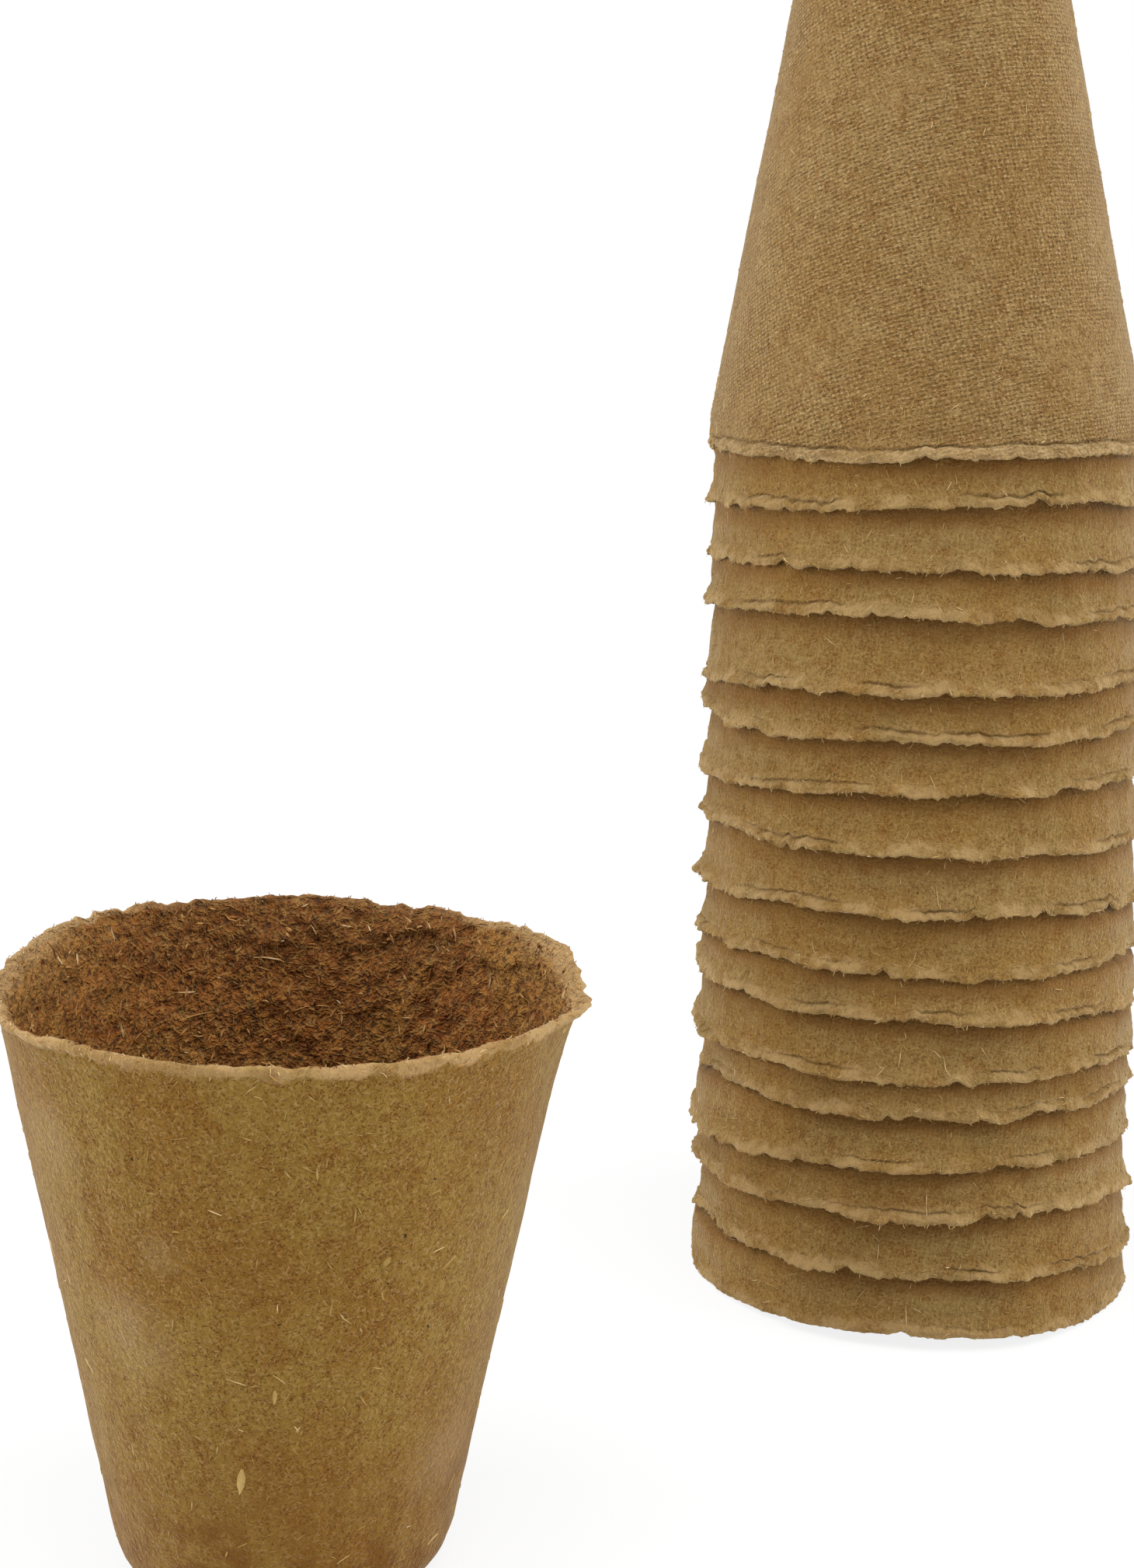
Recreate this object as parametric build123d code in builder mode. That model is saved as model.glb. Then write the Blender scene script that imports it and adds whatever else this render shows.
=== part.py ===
from build123d import *
import math
import os

# A set of moulded peat-fibre plant pots: one stands loose, mouth up, and the
# others are nested mouth down in one tall stack behind it.
# Millimetres, +Z up. The origin is on the table, midway between the loose
# pot's axis and the stack's axis. -Y is the front.

# One pot, as it leaves the forming screen
rim_diameter = 80.0
base_diameter = 45.9
pot_height = 84.2
wall = 1.3
base_wall = 1.8
base_corner = 6.0
lip_height = 5.0
lip_reach = 0.6
lip_flare = 2.6
lip_round = 0.8

# The torn rim: how far its lowest dips stay short of the full pot height
rim_dip = 2.4
rim_points = 30
rim_ripples = 5
cut_overrun = 3.0

# How the pots stand
stack_count = 17
nest_gap = 0.32
seat_slack = 2.0
stack_across = 105.2
stack_back = 95.6

# How far each nested pot stays up from its tightest seat, bottom pot first
seat_shares = [0.0, 0.87, 0.78, 0.03, 0.58, 0.03, 0.92, 0.03, 0.92,
               0.68, 0.68, 0.98, 0.0, 1.0, 0.03, 0.87, 0.28]
# How much of each nested rim's dip is at its front and back, bottom pot first
saddle_shares = [0.0, 0.8, 0.85, 0.9, 0.85, 0.6, 0.7, 0.55, 0.65,
                 0.6, 0.75, 0.35, 0.9, 0.7, 0.4, 0.5, 0.3]
# Where the ripples of each nested rim start, as shares of a turn
ripple_shares = [0.0, 0.12, 0.55, 0.81, 0.34, 0.67, 0.05, 0.43, 0.9,
                 0.22, 0.6, 0.38, 0.75, 0.16, 0.5, 0.95, 0.28]
# The side that faces the viewer, as a share of a turn in a nested pot's own frame
front_share = 0.278
loose_saddle_share = 0.25
loose_ripple_share = 0.4

rim_radius = rim_diameter / 2
mouth_diameter = rim_diameter - 2 * lip_reach
mouth_radius = mouth_diameter / 2
base_radius = base_diameter / 2
taper = math.atan2(mouth_radius - base_radius, pot_height)
wall_across = wall / math.cos(taper)
# Two pots nested with the gap between their walls lie this far apart
nest_step = (wall + nest_gap) / math.sin(taper)


def wall_radius(height):
    """Outer radius of the tapered wall at a height above the base."""
    return base_radius + height * math.tan(taper)


def rim_height(angle, saddle_share, ripple_share):
    """Height of the torn rim above the base, at an angle round the pot."""
    saddle = (1 + math.cos(2 * (angle - 2 * math.pi * front_share))) / 2
    ripple = (1 + math.cos(rim_ripples * angle + 2 * math.pi * ripple_share)) / 2
    return pot_height - rim_dip * (saddle_share * saddle + (1 - saddle_share) * ripple)


def rim_loop(radius, saddle_share, ripple_share):
    """Points of the torn rim's line at one radius, in the pot's own frame."""
    points = []
    for step in range(rim_points):
        angle = 2 * math.pi * step / rim_points
        height = rim_height(angle, saddle_share, ripple_share)
        points.append((radius * math.cos(angle), radius * math.sin(angle), height))
    return points


def moulded_pot(seat, torn, saddle_share, ripple_share):
    """One pot whose base lies on the seat plane and opens along its normal."""
    meridian = Plane(origin=seat.origin, x_dir=seat.x_dir, z_dir=-seat.y_dir)
    lip_foot = pot_height - lip_height
    inner_mouth = mouth_radius - wall_across
    inner_base = wall_radius(base_wall) - wall_across
    with BuildPart() as pot:
        with BuildSketch(meridian):
            with BuildLine():
                FilletPolyline(
                    (0, 0),
                    (base_radius, 0),
                    (wall_radius(lip_foot), lip_foot),
                    (rim_radius, lip_foot + lip_flare),
                    (rim_radius, pot_height),
                    (inner_mouth, pot_height),
                    (inner_base, base_wall),
                    (0, base_wall),
                    radius=[0, base_corner, lip_round, lip_round, 0, 0, base_corner - wall, 0],
                    close=True,
                )
            make_face()
        revolve(axis=Axis(seat.origin, seat.z_dir))
        if torn:
            with BuildLine(seat, mode=Mode.PRIVATE) as inner_line:
                Spline(*rim_loop(inner_mouth - cut_overrun, saddle_share, ripple_share), periodic=True)
            with BuildLine(seat, mode=Mode.PRIVATE) as outer_line:
                Spline(*rim_loop(rim_radius + cut_overrun, saddle_share, ripple_share), periodic=True)
            torn_face = Face.make_surface_from_curves(inner_line.edge(), outer_line.edge())
            extrude(
                to_extrude=torn_face,
                amount=rim_dip + cut_overrun,
                dir=seat.z_dir,
                mode=Mode.SUBTRACT,
            )
    return pot


os.makedirs("parts", exist_ok=True)

# The loose pot, mouth up, front left
loose_seat = Plane(origin=(-stack_across / 2, -stack_back / 2, 0))
loose_pot = moulded_pot(loose_seat, True, loose_saddle_share, loose_ripple_share)
loose_pot.part.label = "loose_pot"
export_step(loose_pot.part, "parts/loose_pot.step")

# The stack, mouth down, back right: each pot caps the one below it
rim_level = 0
for index in range(stack_count):
    if index > 0:
        rim_level = rim_level + nest_step + seat_slack * seat_shares[index]
    name = "stack_pot_%02d" % (index + 1)
    seat = Plane(
        origin=(stack_across / 2, stack_back / 2, rim_level + pot_height),
        x_dir=(1, 0, 0),
        z_dir=(0, 0, -1),
    )
    stack_pot = moulded_pot(seat, index > 0, saddle_shares[index], ripple_shares[index])
    stack_pot.part.label = name
    export_step(stack_pot.part, "parts/%s.step" % name)

print("nest step", round(nest_step, 3), "top of stack", round(rim_level + pot_height, 3))
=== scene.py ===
import math

import bpy
import numpy as np
from mathutils import Matrix, Vector


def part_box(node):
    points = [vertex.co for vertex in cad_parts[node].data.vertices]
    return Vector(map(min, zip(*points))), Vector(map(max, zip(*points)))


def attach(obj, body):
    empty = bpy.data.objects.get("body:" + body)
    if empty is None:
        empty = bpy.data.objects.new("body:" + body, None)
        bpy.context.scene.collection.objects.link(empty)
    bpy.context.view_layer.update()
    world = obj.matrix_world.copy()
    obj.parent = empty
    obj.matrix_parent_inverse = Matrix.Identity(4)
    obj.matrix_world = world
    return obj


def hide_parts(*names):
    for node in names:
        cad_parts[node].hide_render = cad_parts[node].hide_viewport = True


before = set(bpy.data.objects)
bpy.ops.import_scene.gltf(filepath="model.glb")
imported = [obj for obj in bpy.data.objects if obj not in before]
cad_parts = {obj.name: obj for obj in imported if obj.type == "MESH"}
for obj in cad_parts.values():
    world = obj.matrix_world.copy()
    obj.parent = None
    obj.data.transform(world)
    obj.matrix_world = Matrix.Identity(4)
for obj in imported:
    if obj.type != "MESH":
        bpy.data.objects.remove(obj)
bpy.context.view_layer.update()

# Lengths below are in millimetres
MM = 0.001

# One pot, as in the solids
MOUTH_R = 39.4
BASE_R = 22.95
POT_H = 84.2
WALL = 1.3
BASE_WALL = 1.8
CORNER_R = 6.0
TAPER = math.atan2(MOUTH_R - BASE_R, POT_H)
SLOPE = math.tan(TAPER)
WALL_ACROSS = WALL / math.cos(TAPER)

# How the pots stand
LOOSE_AT = (-52.6, -47.8)
LOOSE_LEAN = (0.0259, -0.0075)
STACK_AT = (52.6, 47.8)
STACK_LEAN = -0.0047
STACK_COUNT = 17

# The camera, and the photo's frame in pixels
CAM_AT = (-12.43, -317.37, 167.27)
CAM_PITCH = 0.1246
FOCAL_PX = 2588.2
CENTRE_Y_PX = 794.4
PHOTO_H_PX = 2018
SENSOR = 36.0

# Rise of the loose rim over the nominal height, by view angle in degrees (0 front, + right)
LOOSE_RIM = [(-180, 0.3), (-158, 0.5), (-143, 1.6), (-123, 2.2), (-110, 1.1), (-90, 0.6), (-63, 0.5),
             (-40, 0.9), (-26, 0.3), (-5, 0.2), (9, -0.4), (22, -0.8), (38, -1.2), (50, -1.9), (62, -2.4),
             (78, -2.6), (92, -1.2), (109, -0.4), (117, -0.2), (130, -1.4), (146, -0.4), (160, -1.5),
             (169, 0.4)]
# How far the loose lip stands out, by view angle
LOOSE_FLARE = [(-180, 0.0), (-140, 0.3), (-95, 0.5), (-70, 0.8), (-50, 0.7), (-25, 0.2), (0, 0.1),
               (30, 0.1), (60, 0.4), (74, 1.0), (84, 1.2), (94, 0.7), (115, 0.4), (150, 0.1)]
# Folds inside the loose pot near its rim: view angle, half width in degrees, depth below the rim, height
LOOSE_FOLDS = [(-177, 9, 7.0, 0.8), (166, 8, 5.2, 0.6), (150, 12, 3.6, 0.6), (-160, 8, 4.0, 0.5),
               (120, 10, 4.5, 0.5)]
# Flaps of the loose lip turned out sharply: view angle, half width in degrees, how far
LOOSE_FLAPS = [(71, 6, 1.5), (-58, 9, 0.7), (101, 5, 0.6)]
# Dents in the loose wall: view angle, half width in degrees, height, half height, depth
LOOSE_DENTS = [(-82, 30, 0.5, 4.0, 1.3)]
# Pale chips of wood in the loose wall: view angle, height, length, width
LOOSE_CHIPS = [(-13.0, 24.5, 5.2, 1.2), (-4.0, 37.0, 2.6, 0.7), (20.0, 54.5, 1.9, 0.9)]
# Pale dusty places on the loose wall: view angle, height, radius, strength
LOOSE_DUST = [(-40.0, 45.0, 10.0, 0.25), (-29.0, 58.0, 4.5, 0.15), (-56.0, 70.0, 8.0, 0.20),
              (48.0, 22.0, 9.0, 0.20)]

# Rise of each nested rim over its nominal level, bottom pot first, at these view angles
STACK_ANGLES = (-90, -60, -30, 0, 30, 60, 90)
STACK_RIMS = [
    (0.0, 0.0, 1.6, 3.0, 2.0, 0.1, 0.0),
    (-0.7, 0.5, 2.7, 2.9, 2.4, 0.0, -3.0),
    (-1.4, 1.2, 2.4, 3.2, 3.7, 2.6, -1.9),
    (-2.8, -0.6, 3.0, 3.3, 3.9, 3.0, -1.0),
    (-2.8, 2.4, 2.6, 2.8, 2.8, 2.2, -1.4),
    (-0.3, -1.0, 1.2, 0.2, 1.0, 0.0, -3.0),
    (-1.2, 0.4, 0.6, 1.4, 0.6, -0.9, -4.1),
    (-2.7, 0.0, 0.5, -0.1, -0.4, -0.5, -2.3),
    (-2.0, -2.3, 0.9, -0.1, 0.5, -2.0, -3.0),
    (-1.6, 1.1, 0.2, 0.9, 1.0, -0.8, -1.5),
    (-2.0, -0.6, -0.1, 1.9, 1.1, 0.8, -1.0),
    (0.1, -0.4, -0.8, 0.4, -1.3, -0.4, -0.5),
    (-4.5, -2.1, -1.1, -0.6, -0.9, -0.6, -1.5),
    (-0.7, 0.7, 1.5, 2.0, 0.5, 0.0, -0.5),
    (-0.4, 0.3, 0.3, 1.0, 0.2, -0.5, -0.5),
    (-0.4, -0.3, -0.2, 1.1, 1.7, 0.7, 0.0),
    (0.3, 0.2, -1.0, -0.5, 0.1, 0.4, 0.3),
]
# How far each nested pot's bare wall stands out at the left, front and right, bottom pot first
SIDE_ANGLES = (-88, 0, 88)
STACK_BULGES = [
    (2.6, 0.3, 0.5), (1.0, 0.2, 0.6), (1.2, 0.4, 0.3), (1.9, 0.2, 0.7), (0.6, 0.3, 0.4),
    (1.1, 0.2, 1.3), (1.0, 0.3, 1.4), (0.3, 0.2, 1.0), (0.3, 0.1, 0.8), (0.2, 0.3, 0.7),
    (0.0, 0.1, 0.6), (0.0, 0.2, 0.6), (0.0, 0.1, 0.5), (-0.3, 0.2, 0.5), (-0.5, 0.1, 0.5),
    (-0.7, 0.1, 0.4), (0.0, 0.0, 0.0),
]
# How far each nested pot's lip stands out, in the same order
STACK_FLARES = [
    (-0.3, 0.3, -0.2), (-0.8, 0.7, -0.3), (0.1, 0.6, 0.0), (0.6, 0.8, -0.9), (-0.8, 0.6, -0.2),
    (0.2, 0.9, -0.8), (0.1, 0.7, -1.0), (0.6, 0.6, -0.8), (0.5, 0.8, -0.7), (-0.2, 0.7, -0.5),
    (0.7, 0.8, -0.4), (0.4, 0.6, -0.4), (0.3, 0.8, -0.3), (0.2, 0.6, -0.3), (-0.3, 0.6, -0.3),
    (-0.4, 0.5, -0.2), (-0.9, 0.4, -0.1),
]
# Where no other pot caps a pot, the next rim counts as this far above its mouth
NOT_CAPPED = -20.0


def front_of(axis_xy):
    """World angle, round a pot's axis, of the side that faces the camera."""
    return math.atan2(CAM_AT[1] - axis_xy[1], CAM_AT[0] - axis_xy[0])


# Noise and smooth curves

def noise3(points, seed):
    """Smooth noise from about -1 to 1 at rows of points, one unit to a cell."""
    rng = np.random.default_rng(seed)
    perm = rng.permutation(256)
    grads = rng.normal(size=(256, 3))
    grads /= np.linalg.norm(grads, axis=1)[:, None]
    cell = np.floor(points).astype(np.int64)
    frac = points - cell
    ease = frac ** 3 * (frac * (frac * 6 - 15) + 10)
    total = np.zeros(len(points))
    for step_x in (0, 1):
        share_x = ease[:, 0] if step_x else 1 - ease[:, 0]
        mixed_x = perm[(cell[:, 0] + step_x) & 255]
        for step_y in (0, 1):
            share_y = ease[:, 1] if step_y else 1 - ease[:, 1]
            mixed_xy = perm[(mixed_x + cell[:, 1] + step_y) & 255]
            for step_z in (0, 1):
                share_z = ease[:, 2] if step_z else 1 - ease[:, 2]
                grad = grads[perm[(mixed_xy + cell[:, 2] + step_z) & 255]]
                away = frac - np.array((step_x, step_y, step_z))
                total += share_x * share_y * share_z * (grad * away).sum(1)
    return total * 1.6


def ring_noise(theta, cell, seed):
    """Noise round a rim, one cell to so many millimetres."""
    cells = MOUTH_R / cell
    points = np.stack([cells * np.cos(theta), cells * np.sin(theta), np.zeros_like(theta)], 1)
    return noise3(points, seed)


def smooth(share):
    """Ease from 0 to 1."""
    share = np.clip(share, 0.0, 1.0)
    return share * share * (3 - 2 * share)


def hump(away):
    """1 in the middle, falling off to both sides."""
    return np.exp(-away ** 2)


def half_turn(angle):
    """An angle brought to within half a turn."""
    return np.angle(np.exp(1j * angle))


def round_angles(cols):
    return np.arange(cols) * 2 * math.pi / cols


def unit(vectors, least=1e-9):
    return vectors / (np.linalg.norm(vectors, axis=-1, keepdims=True) + least)


def round_curve(theta, front, pairs, sharp):
    """Smooth closed curve through values given at view angles."""
    total = np.zeros_like(theta)
    weight = np.zeros_like(theta)
    for deg, value in pairs:
        pull = np.exp(sharp * (np.cos(theta - front - math.radians(deg)) - 1))
        total += pull * value
        weight += pull
    return total / weight


def add_object(name, data):
    obj = bpy.data.objects.new(name, data)
    bpy.context.scene.collection.objects.link(obj)
    return obj


# One pot's section, base to rim to floor

BASE, CORNER, OUTER, LIP, INNER, INNER_CORNER, FLOOR = range(7)
# How far down from the rim the finest rows reach, outside and inside, and the next finest inside
EDGE_ZONE = 3.2
INNER_EDGE_ZONE = 1.0
INNER_RIM_ZONE = 6.0
# The flat base and floor start this far from the axis, and a cap closes each
CAP_R = 0.5
# The rounded lip: its rows, its middle row and its height
LIP_ROWS = 7
LIP_CREST = 3
LIP_ROUND = 0.45
# The mark on the lip falls from 1 at the rim to 0 this far down the wall
LIP_MARK = 16.0


def section(rim_zone, step_edge, step_rim, step_wall, step_inner):
    """Rows of the section: radius, height and zone."""
    rows = []
    turn = math.pi / 2 - TAPER
    flat_r = BASE_R - CORNER_R * math.tan(turn / 2)
    inner_corner = CORNER_R - WALL
    inner_flat = BASE_R + BASE_WALL * SLOPE - WALL_ACROSS - inner_corner * math.tan(turn / 2)
    for radius in np.linspace(CAP_R, flat_r, 7):
        rows.append((radius, 0.0, BASE))
    for angle in np.linspace(0, turn, 8)[1:-1]:
        rows.append((flat_r + CORNER_R * math.sin(angle), CORNER_R * (1 - math.cos(angle)), CORNER))
    height = CORNER_R * (1 - math.cos(turn))
    while height < POT_H - step_edge / 2:
        rows.append((BASE_R + height * SLOPE, height, OUTER))
        if height > POT_H - EDGE_ZONE:
            height += step_edge
        elif height > POT_H - rim_zone:
            height += step_rim
        else:
            height += min(step_wall, POT_H - rim_zone - height + step_rim)
    mid = BASE_R + POT_H * SLOPE - WALL_ACROSS / 2
    for angle in np.linspace(0, math.pi, LIP_ROWS):
        rows.append((mid + math.cos(angle) * WALL_ACROSS / 2, POT_H + LIP_ROUND * math.sin(angle), LIP))
    corner_top = BASE_WALL + inner_corner * (1 - math.cos(turn))
    height = POT_H - step_edge
    while height > corner_top:
        rows.append((BASE_R + height * SLOPE - WALL_ACROSS, height, INNER))
        if height > POT_H - INNER_EDGE_ZONE:
            height -= step_edge
        elif height > POT_H - INNER_RIM_ZONE:
            height -= step_rim
        else:
            height -= step_inner
    for angle in np.linspace(turn, 0, 8)[1:-1]:
        rows.append((inner_flat + inner_corner * math.sin(angle),
                     BASE_WALL + inner_corner * (1 - math.cos(angle)), INNER_CORNER))
    for radius in np.linspace(inner_flat, CAP_R, 9):
        rows.append((radius, BASE_WALL, FLOOR))
    return np.array(rows)


def lip_row(rows, step):
    """One row of the rounded lip, counted from its outer side."""
    return np.where(rows[:, 2] == LIP)[0][step]


def notch_line(theta, rng, count):
    """Small V cuts torn out of the rim, as a depth round it."""
    depth = np.zeros_like(theta)
    for _ in range(count):
        at = rng.uniform(0, 2 * math.pi)
        half = rng.uniform(0.8, 2.6) / MOUTH_R
        away = np.abs(half_turn(theta - at)) / half
        depth = np.maximum(depth, rng.uniform(0.4, 1.3) * np.clip(1 - away, 0, 1))
    return depth


def pot_grid(cols, rows, front, rise, flare, bulge, cover, seed, look):
    """Places in the pot's own frame, base at z 0 and mouth up.
    front is the angle, in that frame, of the side that faces the camera, and cover is how far from the rim
    the next pot's rim lies on this one. look says how much there is of each kind of relief."""
    theta = round_angles(cols)
    zone = rows[:, 2]
    inside = (zone > LIP).astype(float)
    lip_rows = np.where(zone == LIP)[0]
    inside[lip_rows] = np.linspace(0, 1, len(lip_rows))
    turn, radius = np.meshgrid(theta, rows[:, 0])
    height = rows[:, 1:2] + 0 * turn
    down = np.maximum(POT_H - height, 0.0)
    inner = inside[:, None] + 0 * turn
    outer = 1 - inner

    def ring(cell, step):
        return ring_noise(theta, cell, seed + step)

    # Torn edge
    tear = 0.6 * ring(6.5, 1) + 0.55 * ring(2.7, 2) - 0.7 * np.abs(ring(1.7, 3)) + 0.4 * ring(0.95, 4)
    tear = look["tear"] * tear * (0.8 + 0.6 * ring(18.0, 5)) + look["sway"] * ring(12.0, 24)
    tear = tear - notch_line(theta, np.random.default_rng(seed), look["notches"])
    tear = tear * (1 - look["calm"] * smooth(0.5 + np.cos(theta - front)))
    height = height + rise * smooth(1 - down / 18.0) + tear * smooth(1 - down / 3.5)

    # Wall that is pressed in under the next pot and stands out below its rim, the lip, and its curled edge
    side = np.isin(zone, (CORNER, OUTER, LIP, INNER))[:, None]
    radius = radius - side * outer * look["press"] * smooth((down - cover - 0.4) / 1.6)
    radius = radius + bulge * smooth((cover - 0.2 - down) / 1.8)
    spread = flare + look["wave"] * (0.8 * ring(15.0, 6) + 0.55 * ring(5.0, 7))
    radius = radius + spread * np.exp(-down / look["reach"])
    curl = look["curl"] * (0.5 + 0.9 * ring(3.2, 8) + 0.6 * ring(1.3, 9))
    radius = radius + curl * np.exp(-down / 0.7)
    radius = radius - outer * look["nip"] * np.exp(-down / 0.6) + inner * look["thin"] * np.exp(-down / 1.4)
    radius = radius - outer * look["feather"] * smooth(0.45 + 1.4 * ring(16.0, 23)) * np.exp(-down / 1.5)

    # Soft hollow above the lip, and a sharp crease with a bead under it
    radius = radius - look["hollow"] * (0.5 + 0.9 * ring(11.0, 20)) * hump((down - 3.4) / 1.5)
    crease_at = look["crease_at"] + 0.6 * ring(9.0, 10) + 0.25 * ring(3.0, 11)
    crease = look["crease"] * smooth(1.8 * ring(17.0, 12) + look["crease_run"])
    radius = radius - outer * crease * hump((down - crease_at) / 0.26)
    radius = radius + outer * 0.35 * crease * hump((down - crease_at + 0.8) / 0.5)
    for deg, half, far in look["flaps"]:
        off = half_turn(theta - front - math.radians(deg)) / math.radians(half)
        radius = radius + far * np.exp(-off ** 4) * hump(down / 1.1)
    for deg, half, high, tall, deep in look["dents"]:
        off = half_turn(turn - front - math.radians(deg)) / math.radians(half)
        radius = radius - deep * np.exp(-off ** 2 - ((height - high) / tall) ** 2)

    # Felt lumps, upright ripples and crumbs outside, and shag with a few folds inside
    points = np.stack([(radius * np.cos(turn)).ravel(), (radius * np.sin(turn)).ravel(), height.ravel()], 1)
    lumps = (0.55 * noise3(points / 11.0, seed + 13) + 0.3 * noise3(points / 4.0, seed + 14)
             + 0.22 * noise3(points / 1.6, seed + 15))
    flutes = (noise3(points / np.array([5.5, 5.5, 55.0]), seed + 21)
              + 0.5 * noise3(points / np.array([2.6, 2.6, 30.0]), seed + 22))
    lumps = (look["lump"] * lumps + look["flute"] * flutes).reshape(turn.shape)
    crumbs = np.maximum(noise3(points / 1.15, seed + 16), 0).reshape(turn.shape)
    crumbs = look["crumb"] * crumbs * np.exp(-down / 1.6)
    shag = (0.8 * noise3(points / 4.2, seed + 17) + 1.1 * np.abs(noise3(points / 2.6, seed + 18))
            + 0.8 * np.abs(noise3(points / 1.5, seed + 19)) - 0.5)
    shag = look["shag"] * shag.reshape(turn.shape)
    for deg, half, deep, high in look["folds"]:
        off = half_turn(turn - front - math.radians(deg)) / math.radians(half)
        line = deep + 1.2 * np.sin(off * 2.3 + deg)
        ridge = np.where(down > line, hump((down - line) / 0.8), hump((down - line) / 2.2))
        shag = shag - high * ridge * np.exp(-off ** 4)
    radius = radius + side * (outer * (lumps + crumbs) + inner * (shag + look["in_shift"]))
    height = height + np.isin(zone, (INNER_CORNER, FLOOR))[:, None] * np.clip(shag, -0.4, 0.4)

    across = radius * np.cos(turn) + look["lean"][0] * height
    back = radius * np.sin(turn) + look["lean"][1] * height
    return np.stack([across, back, height], 2)


def flat_map(pos, turn, zone, front):
    """The wall laid flat, in millimetres, for each grid point, and its far edge at the seam on the back."""
    line = np.stack([np.hypot(pos[:, :, 0], pos[:, :, 1]).mean(1), pos[:, :, 2].mean(1)], 1)
    arc = np.concatenate([[0], np.cumsum(np.linalg.norm(np.diff(line, axis=0), axis=1))])
    arc -= arc[np.argmax(zone == OUTER)]
    turn_in = np.argmax(zone == INNER)
    arc = np.where(np.arange(len(arc)) >= turn_in, 2 * arc[turn_in] - arc, arc)
    far = arc[:, None] + BASE_R / math.sin(TAPER)
    spread = half_turn(turn - front) * math.sin(TAPER)
    seam = spread[0].min() + 2 * math.pi * math.sin(TAPER)
    wall_uv = np.stack([far * np.sin(spread), far * np.cos(spread)], 2)
    seam_uv = np.concatenate([far * math.sin(seam), far * math.cos(seam)], 1)
    return wall_uv, seam_uv


def pot_mesh(name, pos, rows, front, place, cover):
    """Closed mesh of one pot with a flat map, marks for the materials, and the inside on slot 1."""
    row_count, cols = pos.shape[:2]
    zone = rows[:, 2]
    verts = np.concatenate([pos.reshape(-1, 3), pos[0].mean(0)[None], pos[-1].mean(0)[None]])
    row_start = np.arange(row_count - 1)[:, None] * cols
    col = np.arange(cols)[None, :]
    next_col = (col + 1) % cols
    quads = np.stack([row_start + col, row_start + next_col,
                      row_start + cols + next_col, row_start + cols + col], 2).reshape(-1, 4)
    ring = np.arange(cols)
    after = (ring + 1) % cols
    last_row = (row_count - 1) * cols
    base_cap = np.stack([np.full(cols, row_count * cols), after, ring], 1)
    floor_cap = np.stack([np.full(cols, row_count * cols + 1), last_row + ring, last_row + after], 1)
    loops = np.concatenate([quads.ravel(), base_cap.ravel(), floor_cap.ravel()])
    sizes = np.concatenate([np.full(len(quads), 4), np.full(2 * cols, 3)])

    mesh = bpy.data.meshes.new(name)
    mesh.vertices.add(len(verts))
    mesh.vertices.foreach_set("co", (place(verts) * MM).astype(np.float32).ravel())
    mesh.loops.add(len(loops))
    mesh.loops.foreach_set("vertex_index", loops.astype(np.int32))
    mesh.polygons.add(len(sizes))
    mesh.polygons.foreach_set("loop_start", np.concatenate([[0], np.cumsum(sizes)[:-1]]).astype(np.int32))
    crest = lip_row(rows, LIP_CREST)
    inner_face = np.repeat(np.arange(row_count - 1) >= crest, cols)
    slots = np.concatenate([inner_face, np.zeros(cols), np.ones(cols)])
    mesh.polygons.foreach_set("material_index", slots.astype(np.int32))
    mesh.polygons.foreach_set("use_smooth", np.ones(len(sizes), bool))
    mesh.update(calc_edges=True)

    turn = np.repeat(round_angles(cols)[None, :], row_count, 0)
    wall_uv, seam_uv = flat_map(pos, turn, zone, front)
    quad_row, quad_col = quads // cols, quads % cols
    quad_uv = wall_uv[quad_row, quad_col]
    back = np.argmin(half_turn(turn[0] - front))
    for corner in (1, 2):
        hit = quad_col[:, corner] == back
        quad_uv[hit, corner] = seam_uv[quad_row[hit, corner]]
    level = np.isin(zone, (BASE, FLOOR))
    flat_face = level[quad_row].all(1)
    quad_uv[flat_face] = verts[quads[flat_face], :2]
    cap_uv = verts[np.concatenate([base_cap, floor_cap]).ravel(), :2]
    loop_uv = np.concatenate([quad_uv.reshape(-1, 2), cap_uv])
    mesh.uv_layers.new(name="flat").data.foreach_set("uv", loop_uv.astype(np.float32).ravel())

    # Marks: the lip, and the wall round the line where the next pot's rim lies, which takes painted shade
    down = (POT_H - rows[:, 1])[:, None] + 0 * turn
    lip = np.clip(1 - down / LIP_MARK, 0, 1)
    under = smooth((down - cover + 5.4) / 3.8) * smooth((cover + 8.0 - down) / 5.0)
    for label, values in (("lip", lip), ("under", under)):
        mark = mesh.attributes.new(label, "FLOAT", "POINT")
        mark.data.foreach_set("value", np.concatenate([values.ravel(), [0, 0]]).astype(np.float32))
    return add_object(name, mesh)


# Straw and hair: short closed slivers that lie on a pot's surface

def on_grid(pos, row, col):
    """Places on a pot's grid at part rows and part columns."""
    row_count, cols = pos.shape[:2]
    row = np.clip(row, 0.0, row_count - 1.001)
    row_low = row.astype(int)
    col_low = np.floor(col).astype(int)
    row_share, col_share = (row - row_low)[..., None], (col - col_low)[..., None]
    col_low, col_next = col_low % cols, (col_low + 1) % cols
    low = pos[row_low, col_low] * (1 - col_share) + pos[row_low, col_next] * col_share
    high = pos[row_low + 1, col_low] * (1 - col_share) + pos[row_low + 1, col_next] * col_share
    return low * (1 - row_share) + high * row_share


# Share of its full width that a sliver has at each of its rings
SLIVER_TAPER = np.array([0.3, 0.95, 1.0, 0.35])


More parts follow.
